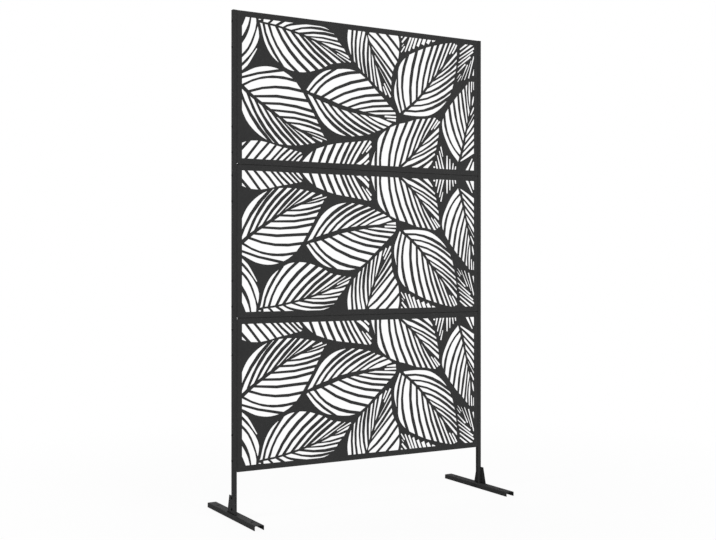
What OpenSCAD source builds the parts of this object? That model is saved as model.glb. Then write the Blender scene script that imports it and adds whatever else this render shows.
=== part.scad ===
// Free-standing metal privacy screen: three leaf-cut steel trays between two square posts on channel feet.
// Millimetres. X runs across the screen, the front faces -Y, Z is up. The origin lies on the floor, centred.

/* [Overall size] */
// Width across the outer faces of the two posts
screen_w = 1192; // [1000:5:1400]
// Height from the floor to the top of the screen
screen_h = 1978; // [1700:2:2250]
// Space between the floor and the lowest panel
ground_gap = 178; // [130:1:260]

/* [Posts] */
// Outside size of the square post tube
post_size = 17; // [15:0.5:20]
// Wall of the post tube
post_wall = 1.2; // [1:0.1:1.5]
// Length of the inner sleeve that joins two post tubes
sleeve_len = 120; // [110:2:180]
// Play between the sleeve and the inside of the post tube, each side
sleeve_play = 0.2; // [0.1:0.05:0.3]
// Thickness of the cap on top of each post
cap_t = 2; // [1.5:0.5:4]

/* [Panels] */
// Sheet thickness of the panels
sheet_t = 1.2; // [1:0.1:1.5]
// Outer radius of the panel's folded edges
fold_r = 2.4; // [2:0.1:3]
// Depth of the panel's folded edges, front to back
flange_d = 15; // [13.5:0.5:15]
// Open line between two stacked panels
seam_gap = 0.5; // [0.5:0.1:2]
// Distance from a panel's end to its first screw
screw_end = 45; // [35:1:55]
// Distance between the two screws of a pair
screw_pair = 100; // [60:1:150]

/* [Leaf cut-outs] */
// Plain border left and right of the cut-outs
side_border = 21.5; // [16:0.5:32]
// Plain border above and below the cut-outs
end_border = 23.5; // [16:0.5:32]
// Width of the metal veins, as a share of the drawn width
vein_share = 1; // [0.8:0.05:1.2]

/* [Feet] */
// Length of a foot, front to back
foot_len = 456; // [380:2:560]
// Width of a foot
foot_w = 39; // [36:1:52]
// Height of a foot
foot_h = 18.5; // [15:0.5:25]
// Sheet thickness of a foot and of its bracket
foot_t = 1.5; // [1.2:0.1:3]
// Foot edge beyond the outer face of the post
foot_out = 9; // [8.5:0.5:12]
// Diameter of the ground stake holes
stake_d = 13; // [9:0.5:16]
// Distance between the two stake holes of a foot
stake_pitch = 327; // [240:1:340]

/* [Brackets] */
// Width of a bracket at its foot end
bracket_w = 84; // [70:1:110]
// Width of a bracket at its top
bracket_top = 48; // [30:1:60]
// Height of a bracket above the foot
bracket_h = 70; // [68:1:90]
// Height of the lower bracket bolt above the foot
bolt_low = 17; // [15:0.5:22]
// Distance between the two bracket bolts
bolt_pitch = 43; // [35:1:45]

/* [Fasteners] */
// Diameter of the screws
screw_d = 6; // [5:0.5:6]
// Diameter of the round screw heads
head_d = 10.5; // [9.5:0.5:12]
// Height of the round screw heads
head_h = 3.3; // [2.5:0.1:4]
// Width of the nuts across two flats
nut_af = 10; // [9:0.5:10]
// Height of the nuts
nut_h = 5; // [4:0.5:5.5]
// Play of a screw in its hole, across
hole_play = 0.4; // [0.2:0.1:0.6]

/* [Hidden] */
panel_w = screen_w - 2 * post_size;
pitch = (screen_h - ground_gap) / 3;
panel_h = pitch - seam_gap;
post_x = screen_w / 2 - post_size / 2;
post_in = post_size - 2 * post_wall;
front_y = -post_size / 2;
hole_d = screw_d + hole_play;
screw_len = post_size + sheet_t + nut_h + 2;
bolt_len = foot_t + post_wall + nut_h + 1.5;
relief = fold_r + 0.6;
fold_in = fold_r - sheet_t;
drawn = [1160, 600];
crumb = panel_w / 1450;
steel = [0.2, 0.2, 0.21];
black = [0.07, 0.07, 0.075];
seams = [ground_gap + pitch, ground_gap + 2 * pitch];
screw_rows = [screw_end, screw_end + screw_pair, pitch - screw_end - screw_pair, pitch - screw_end];

// Leaf cut-outs: curves through hand-read points, in a drawing 1160 wide and 600 high

function unit(v) = v / max(norm(v), 0.000001);
function left_of(v) = [-v[1], v[0]];
function area(p) = 0.5 * abs(sum([for (i = [0:len(p) - 1]) cross(p[i], p[(i + 1) % len(p)])]));
function sum(v, i = 0) = i >= len(v) ? 0 : v[i] + sum(v, i + 1);

// Direction of the curve through points p at its point i
function knot_dir(p, i) =
  let (n = len(p) - 1, a = p[max(i, 1)] - p[max(i, 1) - 1], b = p[min(i, n - 1) + 1] - p[min(i, n - 1)])
  unit(a * norm(b) / norm(a) + b * norm(a) / norm(b));

// Point of the smooth curve through points p; t counts the points
function along(p, t) =
  let (n = len(p) - 1, i = max(0, min(n - 1, floor(t))), u = t - i, d = norm(p[i + 1] - p[i]))
  (2 * u * u * u - 3 * u * u + 1) * p[i] + (u * u * u - 2 * u * u + u) * d * knot_dir(p, i)
  + (3 * u * u - 2 * u * u * u) * p[i + 1] + (u * u * u - u * u) * d * knot_dir(p, i + 1);
function dir_at(p, t) = unit(along(p, min(t + 0.02, len(p) - 1)) - along(p, max(t - 0.02, 0)));

// Move by distance d along the curve p, away from its point t
function moved(p, t, d) =
  d > 0 ? t + min(0.45, d / norm(p[t + 1] - p[t])) : t - min(0.45, -d / norm(p[t] - p[t - 1]));

// Points of a bow from a over m to b
function bow(a, m, b) =
  let (c = 2 * m - (a + b) / 2, turn = acos(max(-1, min(1, unit(c - a) * unit(b - c)))), k = max(1, ceil(turn / 9)))
  [for (j = [0:k]) let (t = j / k) (1 - t) * (1 - t) * a + 2 * t * (1 - t) * c + t * t * b];

// A leaf half: [side, rib at base, rib at tip, spine start, outline start, veins, spine end, outline end]
// A vein: [root, middle, tip, width, width at the middle, more outline points to the next tip]
function spine(h) = concat(h[3], [for (v = h[5]) v[0]], h[6]);
function outline(h) = concat(h[4], [for (v = h[5]) each concat([v[2]], v[5] == undef ? [] : v[5])], h[7]);
function tip_no(h, k) = len(h[4]) + k + sum([for (j = [0:1:k - 1]) h[5][j][5] == undef ? 0 : len(h[5][j][5])]);
function rib_edge(h, t) =
  let (p = spine(h), r = h[1] + (h[2] - h[1]) * t / (len(p) - 1))
  along(p, t) + sign(h[0]) * r / 2 * left_of(dir_at(p, t));

// One side of vein k: [place on the spine, place on the outline, root, middle, tip]; s = 1 towards the leaf tip
function flank(h, k, s) =
  let (v = h[5][k], p = spine(h), o = outline(h), ts = len(h[3]) + k, to = tip_no(h, k),
       w = v[3] * vein_share, wm = (v[4] == undef ? v[3] : v[4]) * vein_share,
       c = 2 * v[1] - (v[0] + v[2]) / 2,
       a = moved(p, ts, s * w / 2 / max(0.4, abs(cross(unit(c - v[0]), dir_at(p, ts))))),
       b = moved(o, to, s * w / 2 / max(0.4, abs(cross(unit(v[2] - c), dir_at(o, to))))),
       n = left_of(unit(v[2] - v[0])), g = n * dir_at(p, ts) > 0 ? 1 : -1)
  [a, b, rib_edge(h, a), v[1] + s * g * wm / 2 * n, along(o, b)];

function between(p, a, b) =
  let (turn = acos(max(-1, min(1, dir_at(p, a) * dir_at(p, b)))), span = abs(b - a),
       k = ceil(max(1, turn / 9, span > 1.3 ? 3 * span : 1)))
  [for (j = [1:1:k - 1]) a + (b - a) * j / k];

// Cut-out between vein k - 1 and vein k
function leaf_slit(h, k) =
  let (p = spine(h), o = outline(h), n = len(h[5]),
       f = k == 0 ? [0, 0] : flank(h, k - 1, 1),
       g = k == n ? [len(p) - 1, len(o) - 1] : flank(h, k, -1))
  concat(
    k == 0 ? [rib_edge(h, 0)] : [],
    [for (t = between(p, f[0], g[0])) rib_edge(h, t)],
    k == n ? [rib_edge(h, g[0]), o[len(o) - 1]] : bow(g[2], g[3], g[4]),
    [for (t = between(o, g[1], f[1])) along(o, t)],
    k == 0 ? [o[0]] : bow(f[4], f[3], f[2]));
function leaf_half(h, first = 0, spared = 0) = [for (k = [first:len(h[5]) - spared]) leaf_slit(h, k)];

// Cut-out between two smooth curves that start and end near each other
function smooth(p) = let (k = 2 * (len(p) - 1)) [for (j = [0:k]) along(p, j / 2)];
function blade(p, q) = let (r = smooth(q)) concat(smooth(p), [for (i = [len(r) - 1:-1:0]) r[i]]);
// Cut-out along a slightly bowed line from a to b
function slot(a, b, wa, wb, bulge = 0) =
  let (n = left_of(unit(b - a)), m = (a + b) / 2 + bulge * n, wm = (wa + wb) / 4)
  concat(bow(a + n * wa / 2, m + n * wm, b + n * wb / 2), bow(b - n * wb / 2, m - n * wm, a - n * wa / 2));

leaf_a = [-1, 0, 0, [[-75, 592]], [[-60, 556], [-20, 536]], [
  [[-31, 592], [10, 549], [50, 507], 12],
  [[26, 592], [62, 549], [97, 504], 10.5, 12],
  [[62, 592], [102, 549], [136, 510], 10],
  [[99, 592], [138, 554], [168, 518], 10],
  [[135, 592], [172, 556], [200, 525], 9],
  [[160, 592], [194, 557], [227, 529], 10],
  [[186, 592], [222, 561], [250, 535], 9],
  [[212, 592], [247, 561], [270, 538], 9.5],
  [[237, 592], [264, 563], [287, 547], 9]],
  [[252, 592], [272, 574]], [[286, 557]]];

leaf_b = [-1, 0, 0, [[290, 592]], [[276, 590], [302, 560]], [
  [[315, 592], [328, 562], [342, 527], 12.5, 14],
  [[357, 592], [373, 550], [394, 508], 10.5, 12],
  [[392, 592], [411, 546], [436, 497], 11, 14.5],
  [[427, 592], [447, 543], [477, 491], 10.5, 12],
  [[457, 592], [479, 541], [509, 487], 10.5, 12],
  [[478, 592], [504, 539], [539, 483], 10.5, 11.5],
  [[499, 592], [530, 536], [568, 479], 10],
  [[520, 592], [556, 532], [597, 474], 10]],
  [[564, 535], [590, 504]], [[612, 474]]];

leaf_c_up = [1, 12, 9, [[-14, 272]], [[0, 300], [14, 366], [43, 431], [87, 475]], [
  [[11, 290], [60, 406], [143, 504], 11, 13.5],
  [[51, 322], [99, 427], [172, 511], 11, 13.5],
  [[84, 344], [135, 436], [210, 514], 11, 13.5],
  [[120, 368], [173, 447], [247, 514], 11, 13.5],
  [[160, 392], [210, 454], [270, 512], 11.5, 14],
  [[198, 414], [249, 468], [300, 508], 11],
  [[236, 436], [278, 471], [324, 503], 10.5],
  [[302, 463], [330, 482], [352, 497], 9]],
  [[382, 486]], [[376, 494]]];

leaf_c_low = [-1, 24, 9, [[-30, 260]], [[-30, 266], [22, 246], [85, 216], [140, 208]], [
  [[-8, 277], [90, 239], [192, 218], 10],
  [[20, 298], [132, 250], [252, 254], 10],
  [[48, 320], [165, 287], [285, 294], 11],
  [[72, 338], [172, 323], [308, 331], 12],
  [[110, 362], [222, 354], [333, 372], 11.5],
  [[150, 386], [250, 382], [347, 398], 10.5],
  [[188, 410], [278, 407], [364, 428], 11],
  [[222, 430], [299, 430], [374, 450], 10],
  [[290, 457], [345, 461], [392, 478], 8]],
  [[396, 490]], [[398, 483.5]]];

leaf_d_up = [1, 12, 9, [[312, 298]], [[314, 312], [340, 354], [378, 411], [432, 449]], [
  [[342, 311], [410, 404], [504, 463], 11.5, 13.5],
  [[376, 323], [441, 401], [541, 459], 10.5, 13],
  [[414, 334], [486, 406], [584, 452], 12],
  [[456, 347], [526, 404], [616, 443], 11.5, 13],
  [[504, 357], [563, 398], [634, 434], 9],
  [[546, 363], [602, 400], [663, 424], 9.5],
  [[588, 367], [637, 395], [690, 411], 7.5],
  [[660, 373], [688, 384], [716, 393], 9]],
  [[735, 373.5]], [[733, 383]]];

leaf_d_low = [-1, 12, 9, [[302, 292]], [[305, 286], [328, 255], [357, 225], [397, 201]], [
  [[314, 299], [366, 241], [434, 193], 10.5],
  [[343, 305], [425, 228.5], [545, 194], 11.5, 12.5],
  [[377, 314], [475, 254.5], [588, 221], 12, 13],
  [[415, 325], [512, 276], [620, 251], 11.5, 12],
  [[458, 339], [550, 297], [653, 280], 11.5],
  [[501, 348], [586, 314.5], [679, 302], 10.5, 11.5],
  [[537, 354], [617, 331.5], [700, 323], 10.5],
  [[582, 362], [650, 347.5], [723, 343], 9],
  [[640, 369], [692, 362], [732, 360], 7.5]],
  [[733, 371]], [[733, 364]]];

leaf_e_left = [-1, 12, 9, [[606, 594]], [[606, 592], [613, 560]], [
  [[631, 592], [631, 540], [636, 497], 11.5, 11.5, [[647, 461]]],
  [[653, 592], [659, 505], [693, 420], 12],
  [[695, 592], [706, 497], [741, 398], 12],
  [[722, 592], [742, 487], [786, 387], 11.5],
  [[753, 577], [783, 467], [827, 373], 12],
  [[788, 549], [815.5, 455], [859, 367], 11.5, 12],
  [[819, 519], [846.5, 441], [887.5, 365.5], 11, 10],
  [[853, 483], [878, 421.5], [918, 358], 11.5, 11],
  [[874, 459], [903, 411], [940, 360], 8.5]],
  [[951, 371]], [[949, 366]]];

leaf_e_right = [1, 12, 9, [[736, 592]], [[910, 558]], [
  [[748, 582], [850, 552], [934, 504], 11.5, 12.5],
  [[794, 544], [871, 517.5], [940, 478.5], 9],
  [[821, 519], [884, 493], [947, 448], 9.5, 8.5],
  [[855, 482], [900, 461.5], [951, 422], 9, 8],
  [[884, 449], [916, 425], [952, 392], 8]],
  [[953, 370]], [[957, 376]]];

leaf_f_left = [-1, 10, 9, [[1057, 545]], [[1050, 538], [1020, 506], [990, 456], [970, 405], [968, 375]], [
  [[1066, 517], [1003, 441], [979.5, 345], 10, 9.5],
  [[1074, 490], [1025.5, 400], [1005, 306], 10.5, 12],
  [[1083, 458], [1045, 367], [1028, 278], 9.5, 10.5],
  [[1092, 422], [1063, 335], [1053, 249], 9, 10],
  [[1102, 383], [1080.5, 305], [1071, 233], 9, 9.5],
  [[1110, 353], [1094.5, 280], [1088.5, 213], 9],
  [[1120.5, 312], [1105.5, 252], [1106.5, 195], 7.5],
  [[1123.5, 246], [1119.5, 215], [1119.3, 184], 7.5]],
  [[1124, 232]], [[1122, 184]]];

leaf_f_right = [1, 10, 9, [[1059, 540]], [[1065, 540.5], [1073, 537], [1100, 523], [1127, 507], [1153, 490]], [
  [[1066, 525], [1106, 499.5], [1153, 457], 10],
  [[1075, 495], [1110, 468.7], [1153, 426], 9.5],
  [[1084, 463], [1118, 431], [1153, 393], 9.5],
  [[1090, 430], [1121, 401], [1153, 357], 9, 8.5],
  [[1099, 394], [1122, 366], [1153, 318], 8.5],
  [[1108, 361], [1125, 337], [1153, 291], 10]],
  [[1121, 312]], [[1153, 240]]];

leaf_g_left = [-1, 12, 10, [[757, 352]], [[750, 350], [738, 323], [725, 290], [723, 248]], [
  [[762, 347], [740.5, 266], [739, 190], 10.5, 11, [[748, 152]]],
  [[782, 333], [762, 218], [789, 104], 11.5],
  [[810, 311], [807, 198], [836, 80], 12.5, 14],
  [[840, 285], [843.5, 177], [877, 62], 11.5, 12],
  [[867, 257], [879.5, 158], [918, 49], 11.5],
  [[895, 222], [911, 137], [948, 41], 11.5],
  [[919, 196], [942, 115], [979, 32], 11],
  [[948, 163], [969, 100], [1003, 28], 10.5],
  [[983, 122], [1005, 70], [1025, 24], 10.5]],
  [[1043, 38]], [[1036, 24]]];

leaf_g_right = [1, 12, 10, [[768, 343]], [[770, 354], [800, 356], [850, 356], [900, 349], [950, 322]], [
  [[782, 333], [895, 324], [1002, 266], 12, 12.5],
  [[812, 310], [919, 292], [1019, 233], 9.5, 10],
  [[840, 285], [935, 258], [1030, 193], 10.5],
  [[870, 254], [951, 226], [1037, 164], 11.5],
  [[892, 226], [972, 188.5], [1041, 140], 8.5, 8],
  [[922, 192.5], [991, 157], [1045, 110], 10.5],
  [[951, 160], [1008, 122], [1046, 84], 10.5],
  [[989, 113], [1021, 79], [1048, 51], 10.5]],
  [[1043, 46]], [[1052, 33]]];

leaf_h_left = [1, 12, 9, [[500, 8]], [[500, 10], [495, 60], [501, 97]], [
  [[520, 10], [515.3, 80], [519, 139], 9.5],
  [[541, 10], [533, 92], [540, 165], 10],
  [[568, 10], [552.5, 103], [564, 189], 8],
  [[588, 28], [571, 114], [584, 205], 10.5, 12.5],
  [[600, 62], [592, 140], [601, 218], 11],
  [[612, 98], [611.5, 162], [623, 236], 8.5, 8],
  [[628.5, 140], [631.5, 197], [644, 254], 9, 8],
  [[648, 185], [660.5, 230], [670, 272], 9.5]],
  [[698, 285]], [[692, 284]]];

leaf_h_right = [-1, 12, 9, [[725, 8]], [[738, 10], [748, 50]], [
  [[678, 10], [716, 50], [747, 83], 10],
  [[628, 10], [688, 68], [740, 128], 10.5],
  [[591, 27], [656.5, 78], [724, 155], 11.5],
  [[603, 73], [660, 122], [714, 182], 10],
  [[614.5, 103], [665, 153], [709, 211], 10.5],
  [[631.5, 148], [671.5, 191], [708, 246], 10.5],
  [[651, 187], [678, 230.5], [706, 272], 9.5]],
  [[700, 288]], [[707, 290]]];

leaf_i_up = [1, 8, 9, [[98, 35]], [[101, 46], [106, 67], [120, 115], [151, 165]], [
  [[115, 38], [138, 114], [193, 196], 10.5, 11, [[225, 212]]],
  [[138, 40], [183, 139.5], [262, 218], 11.5, 10.5],
  [[172, 44], [229, 136.5], [314, 214], 12.5, 14],
  [[204, 50], [264.5, 129], [353, 202], 13.5, 12.5],
  [[242, 58], [305.5, 129], [386, 190], 12.5, 13],
  [[281, 66.5], [342, 129], [409, 176], 13, 13.5],
  [[313, 75.5], [374, 127], [437, 168], 13, 13.5],
  [[356, 88], [415, 129], [474, 162], 10, 9.5],
  [[411, 108], [455, 137.5], [496, 158], 8.5]],
  [[511, 153]], [[511, 158]]];

leaf_i_low = [-1, 8, 9, [[88, 31]], [[92, 10]], [
  [[108, 37], [109, 25], [112, 10], 10.5],
  [[137, 40], [146, 29], [156, 18], 9],
  [[172, 44], [187, 32], [206, 19], 10],
  [[204, 50], [243, 29.5], [310, 20], 10.5, 10],
  [[243, 58], [328, 34], [424, 41], 10],
  [[281, 66.5], [362, 51.5], [441, 56], 12, 11.5],
  [[313, 75.5], [381, 70], [453, 78], 8],
  [[362, 89], [415, 87.5], [474, 98], 8],
  [[425, 113], [458, 113.5], [492, 124], 8]],
  [[503, 148]], [[502, 137]]];

// Halves whose last cut-out, at the tip, is one of the plain slots below
tip_slotted = [leaf_b, leaf_c_up, leaf_d_up, leaf_d_low, leaf_e_left, leaf_f_left, leaf_f_right,
  leaf_g_left, leaf_g_right, leaf_h_left, leaf_h_right, leaf_i_up];
whole_halves = [leaf_a, leaf_c_low];

// Small leaves and leaf ends along the panel's edges
small_cuts = [
  blade([[537, 575], [568, 553], [597, 527]], [[557, 577], [580, 561], [599, 541]]),
  slot([577, 577], [599, 558], 9, 7),
  slot([585, 524], [610, 496], 6, 8),
  [[864, 580], [893, 577], [900, 569], [909, 560], [919, 546], [916, 542.5], [903, 552], [887, 562.5]],
  blade([[811, 575], [836, 565], [862, 553], [890, 537], [929, 510]],
    [[815, 580], [842, 575], [864, 563], [890, 548], [931, 517]]),
  slot([1120, 333.5], [1138.5, 298], 5, 8),
  slot([1124.5, 231], [1126.5, 185], 5, 7),
  slot([1137, 221], [1137, 185], 5, 6),
  blade([[1127.5, 290], [1128.5, 270], [1135, 249]], [[1130.5, 290], [1136, 274], [1139, 250]]),
  slot([565, 532], [607, 477], 4, 11),
  slot([1006.5, 75], [1034.5, 27], 6, 8),
  slot([1021.5, 71.5], [1045, 31], 6, 8, 1.5),
  slot([675, 368.3], [732, 368.3], 7, 7),
  slot([332, 475], [376.5, 491], 3, 8),
  slot([685, 380], [730.5, 382.5], 3, 11),
  slot([911, 411], [945, 366], 5, 8),
  slot([926, 406], [955, 372], 5, 8),
  slot([667.5, 243.5], [683.5, 278], 5, 8),
  slot([673, 230], [704, 286], 6, 8),
  slot([446, 127], [511, 156], 4, 6),
  slot([93, 27], [103, 26], 4, 3),
  blade([[8, 243], [45, 212], [66, 180], [87, 143]], [[8, 230], [45, 195], [65, 167], [84, 141]]),
  blade([[8, 217], [50, 175], [78, 137], [95, 95], [90, 56]], [[8, 195], [40, 165], [62, 131], [78, 90], [88, 57]]),
  blade([[8, 183], [45, 143], [68, 95], [83, 42], [80, 12]], [[8, 147], [38, 103], [54, 65], [63, 12]]),
  blade([[4, 130], [33, 82], [48, 50], [57, 12]], [[8, 85], [26, 52], [42, 12]]),
  slot([1050, 152], [1092, 111], 3, 7),
  slot([1051, 128], [1119, 76], 3, 8),
  slot([1055, 108], [1134, 52], 4, 7),
  slot([1059, 88], [1143, 34], 4, 8),
  slot([1062, 69], [1131, 20], 5, 10),
  slot([1062, 50], [1104, 19], 5, 9),
  slot([1070, 184], [1104, 112], 2, 6),
  slot([1087, 181], [1124, 92], 4, 3.5),
  slot([1109, 172], [1138, 72], 6, 6),
  slot([1133, 158], [1145, 116], 7, 9),
  slot([1050, 192], [1070, 164], 2, 4),
  slot([1047, 178], [1064, 157], 2, 4),
  slot([922, 571], [932, 571], 6, 7),
  slot([943, 580], [935, 546], 9, 6),
  slot([961, 580], [943, 519], 9, 5),
  slot([976, 580], [954, 500], 8, 5),
  slot([972, 523], [961, 481], 4, 7),
  slot([994, 580], [994, 518], 10, 6),
  slot([1009, 580], [1009, 532], 8, 5),
  slot([1023, 580], [1027, 549], 8, 5),
  slot([1037, 580], [1040, 562], 8, 5),
  slot([1099, 580], [1129.5, 524.5], 13, 5),
  [[1116, 578], [1136, 578], [1142, 570], [1142, 535], [1134, 539]],
  [[756, 22], [756, 31], [763, 28], [767, 22]],
  slot([761, 49], [785, 20], 7, 9),
  slot([761, 66], [770, 55], 3, 3),
  slot([757, 91], [775, 64], 5, 6),
  slot([777.5, 87], [807, 20], 6, 9),
  slot([796, 82], [821, 20], 8, 9),
  slot([818, 70], [836, 20], 10, 10),
  slot([841, 58], [857, 20], 12, 11),
  slot([867, 48], [878, 20], 15, 15),
  slot([891, 41], [903, 20], 14, 16),
  [[916, 32], [930, 27], [934, 22], [914, 22]]];

function leaf_cuts() = concat(
  [for (h = whole_halves) each leaf_half(h)], [for (h = tip_slotted) each leaf_half(h, 0, 1)],
  leaf_half(leaf_e_right, 1, 1), leaf_half(leaf_i_low, 1), small_cuts);

// From the drawing to the panel: place, cut off at the plain border, drop crumbs
function placed(p, flip) =
  [(p[0] / drawn[0] - 0.5) * panel_w, (flip ? 1 - p[1] / drawn[1] : p[1] / drawn[1]) * pitch];
function clip(p, k, lim, s) =
  len(p) < 3 ? [] :
  [for (i = [0:len(p) - 1])
    let (a = p[i], b = p[(i + 1) % len(p)], in_a = s * (a[k] - lim) > 0, in_b = s * (b[k] - lim) > 0)
    each concat(in_a ? [a] : [], in_a != in_b ? [a + (b - a) * (lim - a[k]) / (b[k] - a[k])] : [])];
function framed(p) =
  let (x = panel_w / 2 - side_border)
  clip(clip(clip(clip(p, 0, -x, 1), 0, x, -1), 1, end_border, 1), 1, pitch - end_border, -1);
function thinned(p) = [for (i = [0:1:len(p) - 1]) if (norm(p[i] - p[(i + len(p) - 1) % len(p)]) > crumb) p[i]];

module leaf_openings(flip) {
  for (c = leaf_cuts()) {
    q = thinned(framed([for (p = c) placed(p, flip)]));
    if (len(q) > 2 && area(q) > 22 * crumb * crumb) polygon(q);
  }
}

// Sheet and tube shapes

module round_square(w, h, r) {
  square([w - 2 * r, h], center = true);
  square([w, h - 2 * r], center = true);
  for (x = [-1, 1], y = [-1, 1]) translate([x * (w / 2 - r), y * (h / 2 - r)]) circle(r, $fn = 32);
}

module tube_section(size, wall) {
  difference() {
    round_square(size, size, wall + 0.4);
    round_square(size - 2 * wall, size - 2 * wall, 0.4);
  }
}

// Holes along X at the heights in rows
module cross_holes(rows, d, x0, x1) {
  for (z = rows) translate([x0, 0, z]) rotate([0, 90, 0]) cylinder(d = d, h = x1 - x0, $fn = 48);
}

// Tube from z0 to z1 on side s, with holes right through at rows and in the outer wall alone at outer_rows
module post(s, z0, z1, rows, outer_rows = []) {
  color(steel) difference() {
    translate([s * post_x, 0, z0]) linear_extrude(z1 - z0) tube_section(post_size, post_wall);
    cross_holes(rows, hole_d, s * post_x - post_size, s * post_x + post_size);
    cross_holes(outer_rows, hole_d, s < 0 ? -screen_w / 2 - 5 : post_x, s < 0 ? -post_x : screen_w / 2 + 5);
  }
}

module sleeve(s, z) {
  color(steel) difference() {
    translate([s * post_x, 0, z - sleeve_len / 2]) linear_extrude(sleeve_len)
      tube_section(post_in - 2 * sleeve_play, post_wall);
    cross_holes([z - screw_end, z + screw_end], hole_d, s * post_x - post_size, s * post_x + post_size);
  }
}

module cap(s) {
  top = screen_h;
  plug = post_in - 2 * sleeve_play;
  color(black) translate([s * post_x, 0, 0]) {
    intersection() {
      rotate([90, 0, 0]) linear_extrude(post_size, center = true) cap_side();
      rotate([90, 0, 90]) linear_extrude(post_size, center = true) cap_side();
    }
    translate([0, 0, top - cap_t - 12]) linear_extrude(12) difference() {
      square(plug, center = true);
      square(plug - 3, center = true);
    }
  }
}

module cap_side() {
  r = 1.2;
  translate([-post_size / 2, screen_h - cap_t]) square([post_size, cap_t - r]);
  translate([-post_size / 2 + r, screen_h - cap_t]) square([post_size - 2 * r, cap_t]);
  for (x = [-1, 1]) translate([x * (post_size / 2 - r), screen_h - r]) circle(r, $fn = 32);
}

// Folded edge, seen end-on: a quarter bend, the flat part behind it and a lip that laps into the sheet
module fold_section() {
  intersection() {
    translate([fold_r, fold_r]) difference() {
      circle(fold_r, $fn = 48);
      circle(fold_in, $fn = 48);
    }
    square(fold_r);
  }
  translate([0, fold_r]) square([sheet_t, flange_d - fold_r]);
  translate([fold_r, 0]) square([sheet_t, sheet_t]);
}

module panel(level, flip) {
  z0 = ground_gap + level * pitch + seam_gap / 2;
  x0 = panel_w / 2;
  color(steel) difference() {
    union() {
      translate([0, front_y + sheet_t, z0 - seam_gap / 2]) rotate([90, 0, 0]) linear_extrude(sheet_t) difference() {
        translate([fold_r - x0, seam_gap / 2 + fold_r]) square([panel_w - 2 * fold_r, panel_h - 2 * fold_r]);
        leaf_openings(flip);
      }
      for (s = [-1, 1]) {
        translate([0, front_y, z0 + relief]) linear_extrude(panel_h - 2 * relief)
          mirror([s < 0 ? 0 : 1, 0]) translate([-x0, 0]) fold_section();
        translate([relief - x0, front_y, z0 + panel_h / 2]) mirror([0, 0, s < 0 ? 0 : 1])
          rotate([90, 0, 90]) linear_extrude(panel_w - 2 * relief)
            translate([0, -panel_h / 2]) mirror([1, -1]) fold_section();
      }
    }
    cross_holes([for (r = screw_rows) ground_gap + level * pitch + r], hole_d, -x0 - 1, -x0 + 4);
    cross_holes([for (r = screw_rows) ground_gap + level * pitch + r], hole_d, x0 - 4, x0 + 1);
  }
}

module foot(s) {
  cx = s * (screen_w / 2 + foot_out - foot_w / 2);
  color(steel) difference() {
    translate([cx, 0, 0]) rotate([90, 0, 0]) linear_extrude(foot_len, center = true) difference() {
      foot_section(foot_w, foot_h, 3);
      foot_section(foot_w - 2 * foot_t, foot_h - foot_t, 3 - foot_t / 2);
    }
    for (y = [-1, 1]) translate([cx, y * stake_pitch / 2, foot_h / 2]) cylinder(d = stake_d, h = foot_h, $fn = 64);
  }
}

module foot_section(w, h, r) {
  translate([-w / 2, 0]) square([w, h - r]);
  translate([-w / 2 + r, 0]) square([w - 2 * r, h]);
  for (x = [-1, 1]) translate([x * (w / 2 - r), h - r]) circle(r, $fn = 48);
}

module bracket(s) {
  rows = [foot_h + bolt_low, foot_h + bolt_low + bolt_pitch];
  x = screen_w / 2 + (s < 0 ? foot_t : 0);
  color(steel) difference() {
    translate([s * x, 0, foot_h]) rotate([90, 0, 90]) linear_extrude(foot_t)
      polygon([[-bracket_w / 2, 0], [bracket_w / 2, 0], [bracket_top / 2, bracket_h], [-bracket_top / 2, bracket_h]]);
    cross_holes(rows, hole_d, s * screen_w / 2 - 5, s * screen_w / 2 + 5);
  }
}

// Fasteners: round-headed screws with a six-sided socket, and plain hexagon nuts

// One screw whose head rests on the plane x, with a shank of length len that points inwards
module screw(s, x, z, len) {
  r = head_d / 2;
  bulge = (r * r + head_h * head_h) / (2 * head_h);
  translate([s * x, 0, z]) rotate([0, s * 90, 0]) {
    difference() {
      rotate_extrude($fn = 48) intersection() {
        translate([0, head_h - bulge]) circle(bulge, $fn = 180);
        square([r, head_h]);
      }
      translate([0, 0, head_h - 1.8]) cylinder(d = 4.6, h = 3, $fn = 6);
    }
    translate([0, 0, -len]) cylinder(d = screw_d, h = len, $fn = 36);
  }
}

module nut(s, x, z) {
  translate([s * x, 0, z]) rotate([0, -s * 90, 0]) difference() {
    cylinder(d = nut_af / cos(30), h = nut_h, $fn = 6);
    translate([0, 0, -1]) cylinder(d = screw_d + 0.2, h = nut_h + 2, $fn = 36);
  }
}

module panel_screws(level, s) {
  color(black) for (r = screw_rows) screw(s, screen_w / 2, ground_gap + level * pitch + r, screw_len);
}

module panel_nuts(level, s) {
  color(black) for (r = screw_rows) nut(s, panel_w / 2 - sheet_t, ground_gap + level * pitch + r);
}

module bracket_bolts(s) {
  color(black) for (k = [0, 1]) screw(s, screen_w / 2 + foot_t, foot_h + bolt_low + k * bolt_pitch, bolt_len);
}

// Nuts welded inside the post, on its outer wall
module bracket_nuts(s) {
  color(black) for (k = [0, 1]) nut(s, screen_w / 2 - post_wall, foot_h + bolt_low + k * bolt_pitch);
}

// One module for each named part

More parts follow.
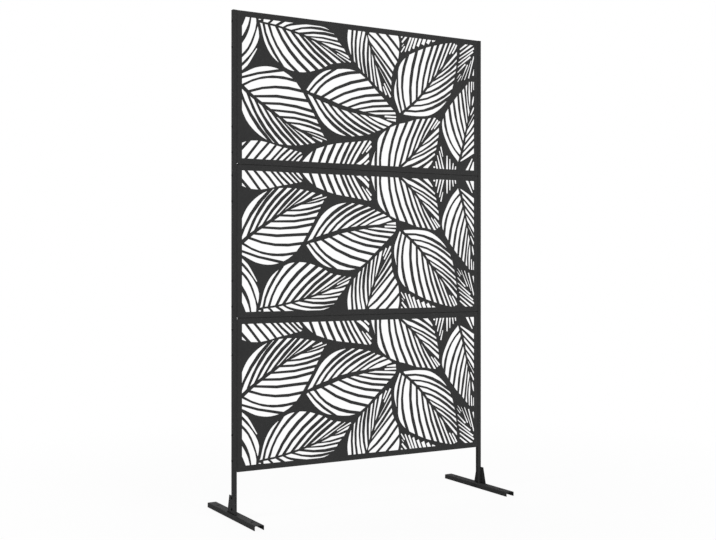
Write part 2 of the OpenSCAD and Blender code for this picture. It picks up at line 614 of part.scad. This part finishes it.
function rows_of(level) = [for (r = screw_rows) ground_gap + level * pitch + r];
module post_lower(s) {
  post(s, foot_h, seams[0], rows_of(0), [foot_h + bolt_low, foot_h + bolt_low + bolt_pitch]);
}
module foot_left() { foot(-1); }
module foot_right() { foot(1); }
module bracket_left() { bracket(-1); }
module bracket_right() { bracket(1); }
module post_left_lower() { post_lower(-1); }
module post_left_middle() { post(-1, seams[0], seams[1], rows_of(1)); }
module post_left_upper() { post(-1, seams[1], screen_h - cap_t, rows_of(2)); }
module post_right_lower() { post_lower(1); }
module post_right_middle() { post(1, seams[0], seams[1], rows_of(1)); }
module post_right_upper() { post(1, seams[1], screen_h - cap_t, rows_of(2)); }
module sleeve_left_lower() { sleeve(-1, seams[0]); }
module sleeve_left_upper() { sleeve(-1, seams[1]); }
module sleeve_right_lower() { sleeve(1, seams[0]); }
module sleeve_right_upper() { sleeve(1, seams[1]); }
module cap_left() { cap(-1); }
module cap_right() { cap(1); }
module panel_bottom() { panel(0, false); }
module panel_middle() { panel(1, false); }
module panel_top() { panel(2, true); }
module bracket_bolts_left() { bracket_bolts(-1); }
module bracket_bolts_right() { bracket_bolts(1); }
module bracket_nuts_left() { bracket_nuts(-1); }
module bracket_nuts_right() { bracket_nuts(1); }
module screws_bottom_left() { panel_screws(0, -1); }
module screws_bottom_right() { panel_screws(0, 1); }
module screws_middle_left() { panel_screws(1, -1); }
module screws_middle_right() { panel_screws(1, 1); }
module screws_top_left() { panel_screws(2, -1); }
module screws_top_right() { panel_screws(2, 1); }
module nuts_bottom_left() { panel_nuts(0, -1); }
module nuts_bottom_right() { panel_nuts(0, 1); }
module nuts_middle_left() { panel_nuts(1, -1); }
module nuts_middle_right() { panel_nuts(1, 1); }
module nuts_top_left() { panel_nuts(2, -1); }
module nuts_top_right() { panel_nuts(2, 1); }

foot_left();
foot_right();
bracket_left();
bracket_right();
post_left_lower();
post_left_middle();
post_left_upper();
post_right_lower();
post_right_middle();
post_right_upper();
sleeve_left_lower();
sleeve_left_upper();
sleeve_right_lower();
sleeve_right_upper();
cap_left();
cap_right();
panel_bottom();
panel_middle();
panel_top();
bracket_bolts_left();
bracket_bolts_right();
bracket_nuts_left();
bracket_nuts_right();
screws_bottom_left();
screws_bottom_right();
screws_middle_left();
screws_middle_right();
screws_top_left();
screws_top_right();
nuts_bottom_left();
nuts_bottom_right();
nuts_middle_left();
nuts_middle_right();
nuts_top_left();
nuts_top_right();
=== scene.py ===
import math

import bpy
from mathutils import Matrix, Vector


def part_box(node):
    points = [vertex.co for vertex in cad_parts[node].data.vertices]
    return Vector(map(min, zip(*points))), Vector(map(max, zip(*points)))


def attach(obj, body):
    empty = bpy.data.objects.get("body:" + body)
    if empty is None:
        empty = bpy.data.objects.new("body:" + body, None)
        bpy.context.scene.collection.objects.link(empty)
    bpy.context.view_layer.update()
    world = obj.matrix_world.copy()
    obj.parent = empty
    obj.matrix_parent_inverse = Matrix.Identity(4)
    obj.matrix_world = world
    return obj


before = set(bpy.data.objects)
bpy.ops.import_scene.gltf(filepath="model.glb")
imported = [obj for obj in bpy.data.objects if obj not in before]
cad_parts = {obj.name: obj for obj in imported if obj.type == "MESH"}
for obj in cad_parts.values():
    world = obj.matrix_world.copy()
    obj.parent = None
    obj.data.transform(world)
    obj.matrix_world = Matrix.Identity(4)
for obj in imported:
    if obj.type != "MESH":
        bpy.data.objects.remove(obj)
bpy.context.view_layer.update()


# Outputs that are picked by number: Texture Coordinate, Geometry, Vector Math and Light Path
OBJECT_PLACE = 3
FACE_NORMAL = 1
NUMBER = 1
CAMERA_RAY, GLOSSY_RAY, TRANSMISSION_RAY = 0, 3, 6


# Materials

class Value:
    """A socket of a finish, so that its sums are written as plain Python."""

    def __init__(self, finish, socket):
        self.finish = finish
        self.socket = socket

    def math(self, operation, *others, clamp=False):
        values = dict(enumerate((self,) + others))
        return self.finish.node("ShaderNodeMath", {"operation": operation, "use_clamp": clamp}, values)

    def __add__(self, other):
        return self.math("ADD", other)

    def __mul__(self, other):
        return self.math("MULTIPLY", other)

    def __sub__(self, other):
        return self.math("SUBTRACT", other)

    def __rsub__(self, other):
        return (self * -1.0) + other

    def __truediv__(self, other):
        return self.math("DIVIDE", other)

    def __pow__(self, other):
        return self.math("POWER", other)

    __radd__ = __add__
    __rmul__ = __mul__

    def clamped(self):
        return self.math("ADD", 0.0, clamp=True)


class Finish:
    """One material, built node by node."""

    def __init__(self, name, world=None):
        self.holder = world or bpy.data.materials.new(name)
        self.holder.use_nodes = True
        self.tree = self.holder.node_tree
        self.tree.nodes.clear()

    def node(self, kind, settings=None, values=None, out=0):
        n = self.tree.nodes.new(kind)
        for key, value in (settings or {}).items():
            if key == "stops":
                ramp = n.color_ramp
                while len(ramp.elements) < len(value):
                    ramp.elements.new(0.5)
                for stop, (place, colour) in zip(ramp.elements, value):
                    stop.position = place
                    stop.color = colour
            else:
                setattr(n, key, value)
        for key, value in (values or {}).items():
            if isinstance(value, Value):
                self.tree.links.new(value.socket, n.inputs[key])
            else:
                n.inputs[key].default_value = value
        return Value(self, n.outputs[out])

    def mix(self, factor, first, second):
        """Two colours mixed by a factor; 6 and 7 are the colour sockets of the Mix node."""
        return self.node("ShaderNodeMix", {"data_type": "RGBA"}, {0: factor, 6: first, 7: second}, out=2)

    def noise(self, place, size, detail=2.0, roughness=0.5):
        """Noise whose patches are about `size` metres across."""
        return self.node("ShaderNodeTexNoise", {}, {
            "Vector": place, "Scale": 1.0 / size, "Detail": detail, "Roughness": roughness})

    def ramp(self, factor, *stops):
        """A number that follows `factor` through the stops, as (place, value) pairs."""
        levels = [(place, (level, level, level, 1.0)) for place, level in stops]
        return self.node("ShaderNodeValToRGB", {"stops": levels}, {"Fac": factor})

    def edges(self, radius, gain):
        """The face's normal, the normal softened over its edges, and how much of an edge a point lies on."""
        facing = self.node("ShaderNodeNewGeometry", out=FACE_NORMAL)
        softened = self.soft_normal(radius)
        turned = self.node("ShaderNodeVectorMath", {"operation": "DOT_PRODUCT"}, {0: facing, 1: softened}, out=NUMBER)
        return facing, softened, ((1.0 - turned) * gain).clamped()

    def soft_normal(self, radius):
        return self.node("ShaderNodeBevel", {"samples": 6}, {"Radius": radius})

    def relief(self, height, normal, strength):
        return self.node("ShaderNodeBump", {}, {
            "Strength": strength, "Distance": 1.0, "Height": height, "Normal": normal})

    def matt(self, colour, rough, shine, normal):
        return self.node("ShaderNodeBsdfPrincipled", {}, {
            "Base Color": colour, "Roughness": rough, "Specular IOR Level": shine, "Normal": normal})

    def seen_directly(self):
        """One for the camera's rays, and for those that reach here by a reflection or through glass."""
        seen = self.node("ShaderNodeLightPath", out=CAMERA_RAY)
        shiny = self.node("ShaderNodeLightPath", out=GLOSSY_RAY)
        clear = self.node("ShaderNodeLightPath", out=TRANSMISSION_RAY)
        return (seen + shiny + clear).clamped()

    def close(self, shader):
        kind = "ShaderNodeOutputWorld" if isinstance(self.holder, bpy.types.World) else "ShaderNodeOutputMaterial"
        output = self.tree.nodes.new(kind)
        self.tree.links.new(shader.socket, output.inputs["Surface"])
        return self.holder


def grey(level, warm=0.0):
    """A neutral colour, a little warm or cool."""
    return (level * (1.0 + warm), level, level * (1.0 - warm), 1.0)


def powder_coat(name, level, grain, peel, rubbed, edge_round):
    """Charcoal fine-texture powder coat on steel: sandy grain, a faint peel, and edges where the coat is thin."""
    f = Finish(name)
    place = f.node("ShaderNodeTexCoord", out=OBJECT_PLACE)
    cloud = f.noise(place, 0.16, 3.0, 0.55)
    mottle = f.noise(place, 0.012, 3.0, 0.6)
    sand = f.noise(place, grain, 2.0, 0.6)
    skin = f.noise(place, peel, 1.0, 0.4)

    facing, softened, edge = f.edges(edge_round, 6.0)
    upward = f.node("ShaderNodeSeparateXYZ", values={0: facing}, out=2)
    dust = (upward.math("SUBTRACT", 0.6, clamp=True) * f.ramp(mottle, (0.42, 0.15), (0.66, 1.0))) * 0.5

    shade = f.ramp(cloud * 0.6 + mottle * 0.4, (0.36, 0.0), (0.64, 1.0))
    paint = f.mix(shade, grey(level * 0.93, -0.012), grey(level * 1.07, 0.004))
    speck = f.ramp(sand, (0.5, 0.0), (0.74, 1.0)) * 0.3
    paint = f.mix(speck, paint, grey(level * 1.55))
    paint = f.mix(edge * rubbed * f.ramp(mottle, (0.36, 0.2), (0.66, 1.0)), paint, grey(level * 2.4, 0.01))
    paint = f.mix(dust * 0.12, paint, grey(0.16, 0.02))
    rough = 0.68 + sand * 0.16 + cloud * 0.08 - edge * 0.08 + dust * 0.1

    height = sand * 0.00006 + skin * 0.00009
    return f.close(f.matt(paint, rough, 0.04, f.relief(height, softened, 0.55)))


# The screws lie along X: their threads end at this distance from the middle of the screen
THREAD_END = 0.5850
THREAD_PITCH = 0.001


def blackened_steel(name, threaded):
    """Screws, bolts and nuts: blackened steel, worn a little bright along the edges. Shanks show their thread."""
    f = Finish(name)
    place = f.node("ShaderNodeTexCoord", out=OBJECT_PLACE)
    cloud = f.noise(place, 0.006, 3.0, 0.6)
    pores = f.noise(place, 0.0005, 2.0, 0.6)
    softened, edge = f.edges(0.0004, 5.0)[1:]
    oxide = f.mix(cloud, grey(0.0025, -0.02), grey(0.0048, -0.01))
    oxide = f.mix(edge * cloud * 0.2, oxide, grey(0.04, 0.01))
    rough = 0.34 + cloud * 0.16 + pores * 0.06 - edge * 0.06
    height = pores * 0.00002
    if threaded:
        across = f.node("ShaderNodeSeparateXYZ", values={0: place}, out=0)
        shank = ((THREAD_END - across.math("ABSOLUTE")) * 2000.0).clamped()
        height = height + across.math("PINGPONG", THREAD_PITCH / 2) * shank * 0.8
    return f.close(f.matt(oxide, rough, 0.025, f.relief(height, softened, 0.4)))


def moulded_plastic():
    """Post caps: black moulded plastic with a fine spark texture."""
    f = Finish("moulded cap plastic")
    place = f.node("ShaderNodeTexCoord", out=OBJECT_PLACE)
    spark = f.noise(place, 0.0006, 2.0, 0.6)
    cloud = f.noise(place, 0.01, 2.0, 0.5)
    softened = f.soft_normal(0.0006)
    tone = f.mix(cloud, grey(0.017), grey(0.022, -0.01))
    rough = 0.5 + spark * 0.16 + cloud * 0.06
    return f.close(f.matt(tone, rough, 0.10, f.relief(spark * 0.00005, softened, 0.4)))


panel_coat = powder_coat("panel powder coat", 0.0330, 0.0007, 0.006, 0.12, 0.0006)
frame_coat = powder_coat("frame powder coat", 0.0310, 0.0007, 0.005, 0.16, 0.0009)
# The welds' coat is a powder coat like the frame's, but painted about four times darker: painted contact shade where
# the brackets meet the feet.
weld_coat_painted_shade = powder_coat("weld coat with painted shade", 0.0080, 0.0007, 0.003, 0.05, 0.0004)
screw_steel = blackened_steel("blackened screw steel", True)
nut_steel = blackened_steel("blackened nut steel", False)
cap_plastic = moulded_plastic()

for name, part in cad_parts.items():
    if name.startswith("panel_"):
        finish = panel_coat
    elif name.startswith(("screws_", "bracket_bolts")):
        finish = screw_steel
    elif name.startswith(("nuts_", "bracket_nuts")):
        finish = nut_steel
    elif name.startswith("cap_"):
        finish = cap_plastic
    else:
        finish = frame_coat
    for slot in part.material_slots:
        slot.material = finish


# Welds between the brackets and the feet, their coat darkened with painted contact shade

def weld_bead(face_x, away, base_z, start_y, end_y, leg=0.0026, ripple=0.0012, sunk=0.0004):
    """A fillet weld along Y in the corner of an upright face and the foot, rippled by the steps of the torch.

    It sinks a little into both faces, so that it lies on them without an open line."""
    bpy.ops.object.select_all(action="DESELECT")
    bpy.ops.mesh.primitive_circle_add(
        vertices=24, radius=leg, fill_type="NGON",
        location=(face_x, start_y, base_z), rotation=(math.pi / 2, 0.0, 0.0))
    bead = bpy.context.object
    bpy.ops.object.transform_apply(location=True, rotation=True, scale=True)
    bpy.ops.object.mode_set(mode="EDIT")
    bpy.ops.mesh.select_mode(type="FACE")
    bpy.ops.mesh.select_all(action="SELECT")
    bpy.ops.mesh.bisect(
        plane_co=(face_x - away * sunk, 0.0, 0.0), plane_no=(-away, 0.0, 0.0), clear_outer=True)
    bpy.ops.mesh.select_all(action="SELECT")
    bpy.ops.mesh.bisect(
        plane_co=(0.0, 0.0, base_z - sunk), plane_no=(0.0, 0.0, -1.0), clear_outer=True)
    bpy.ops.mesh.select_all(action="SELECT")
    ripples = round((end_y - start_y) / ripple)
    step = (end_y - start_y) / ripples / 2
    sizes = [0.45] + [0.93 if k % 2 else 1.0 for k in range(1, 2 * ripples)] + [0.45]
    sizes[1] = sizes[-2] = 0.8
    bpy.ops.transform.resize(value=(sizes[0], 1.0, sizes[0]), center_override=(face_x, start_y, base_z))
    for k, (before, after) in enumerate(zip(sizes, sizes[1:])):
        bpy.ops.mesh.extrude_region_move(TRANSFORM_OT_translate={"value": (0.0, step, 0.0)})
        share = after / before
        bpy.ops.transform.resize(
            value=(share, 1.0, share), center_override=(face_x, start_y + (k + 1) * step, base_z))
    bpy.ops.mesh.select_all(action="SELECT")
    bpy.ops.mesh.normals_make_consistent(inside=False)
    bpy.ops.object.mode_set(mode="OBJECT")
    return bead


def foot_welds(side):
    """The welds of one bracket: a long one outside, and two short ones inside, in front of and behind the post. Their
    dark coat is painted contact shade.
    """
    low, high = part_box("bracket_" + side)
    post_low, post_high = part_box("post_" + side + "_lower")
    outer, inner, away = (low.x, high.x, -1) if side == "left" else (high.x, low.x, 1)
    margin = 0.0015
    beads = [
        weld_bead(outer, away, low.z, low.y + margin, high.y - margin),
        weld_bead(inner, -away, low.z, low.y + margin, post_low.y - margin),
        weld_bead(inner, -away, low.z, post_high.y + margin, high.y - margin)]
    bpy.ops.object.select_all(action="DESELECT")
    for bead in beads:
        bead.select_set(True)
    bpy.context.view_layer.objects.active = beads[0]
    bpy.ops.object.join()
    welds = bpy.context.object
    welds.name = "welds_" + side
    bpy.ops.object.shade_smooth_by_angle(angle=math.radians(50.0))
    # The beads are real welds; their darkened coat is painted contact shade along the bracket base.
    welds.data.materials.append(weld_coat_painted_shade)
    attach(welds, "root")


for side in ("left", "right"):
    foot_welds(side)


# Studio

def studio_floor():
    """A pale floor that keeps the shadow near the feet and fades into the white backdrop further out."""
    bpy.ops.object.select_all(action="DESELECT")
    bpy.ops.mesh.primitive_plane_add(size=60.0, location=(0.0, 0.0, -0.0005))
    floor = bpy.context.object
    floor.name = "studio_floor"
    bpy.ops.object.transform_apply(location=True, rotation=True, scale=True)
    f = Finish("pale studio floor")
    place = f.node("ShaderNodeTexCoord", out=OBJECT_PLACE)
    away = f.node("ShaderNodeVectorMath", {"operation": "LENGTH"}, {0: place}, out=NUMBER)
    tone = f.mix(f.noise(place, 0.5, 2.0), grey(0.86), grey(0.88))
    matte = f.node("ShaderNodeBsdfDiffuse", {}, {"Color": tone})
    white = f.node("ShaderNodeEmission", {}, {"Color": grey(1.0), "Strength": 1.0})
    far = f.ramp(away / 6.0, (0.16, 0.93), (0.42, 1.0))
    share = f.seen_directly() * far
    surface = f.node("ShaderNodeMixShader", {}, {0: share, 1: matte, 2: white})
    floor.data.materials.append(f.close(surface))


def studio_air():
    """An even world for the light, seen as white by the camera and in reflections."""
    world = bpy.data.worlds.new("studio air")
    bpy.context.scene.world = world
    f = Finish("studio air", world)
    light = f.node("ShaderNodeBackground", {}, {"Color": grey(1.0), "Strength": 0.15})
    white = f.node("ShaderNodeBackground", {}, {"Color": grey(1.0), "Strength": 1.0})
    f.close(f.node("ShaderNodeMixShader", {}, {0: f.seen_directly(), 1: light, 2: white}))


def softbox(name, place, target, width, height, power):
    """A flat lamp that faces a target."""
    lamp = bpy.data.lights.new(name, "AREA")
    lamp.shape = "RECTANGLE"
    lamp.size = width
    lamp.size_y = height
    lamp.energy = power
    holder = bpy.data.objects.new(name, lamp)
    bpy.context.scene.collection.objects.link(holder)
    dx, dy, dz = (t - p for t, p in zip(target, place))
    flat = math.hypot(dx, dy)
    holder.location = place
    holder.rotation_euler = (math.atan2(flat, -dz), 0.0, math.atan2(dy, dx) - math.pi / 2)
    return holder


studio_floor()
studio_air()
softbox("front softbox", (1.2, -5.0, 2.4), (0.0, 0.0, 1.0), 3.0, 3.0, 210.0)
softbox("left strip box", (-4.8, 0.0, 2.4), (0.0, 0.0, 0.9), 0.2, 2.0, 110.0)
softbox("top softbox", (0.0, -0.4, 5.2), (0.0, 0.0, 1.0), 3.5, 3.5, 30.0)
softbox("back softbox", (1.4, 5.0, 3.0), (0.0, 0.0, 1.0), 3.0, 3.0, 170.0)


# Camera

image_width, image_height = 716.0, 540.0
lens_in_pixels = 1075.84
horizon_row = 263.36
turn = math.radians(30.107)
camera = bpy.data.cameras.new("studio camera")
camera.sensor_width = 36.0
camera.lens = lens_in_pixels / image_width * camera.sensor_width
camera.shift_y = -(image_height / 2 - horizon_row) / image_width
camera.clip_end = 100.0
holder = bpy.data.objects.new("studio camera", camera)
bpy.context.scene.collection.objects.link(holder)
holder.location = (-2.2705, -3.8639, 0.9914)
holder.rotation_euler = (math.radians(90.0), 0.0, -turn)
bpy.context.scene.camera = holder

bpy.context.scene.view_settings.view_transform = "Standard"
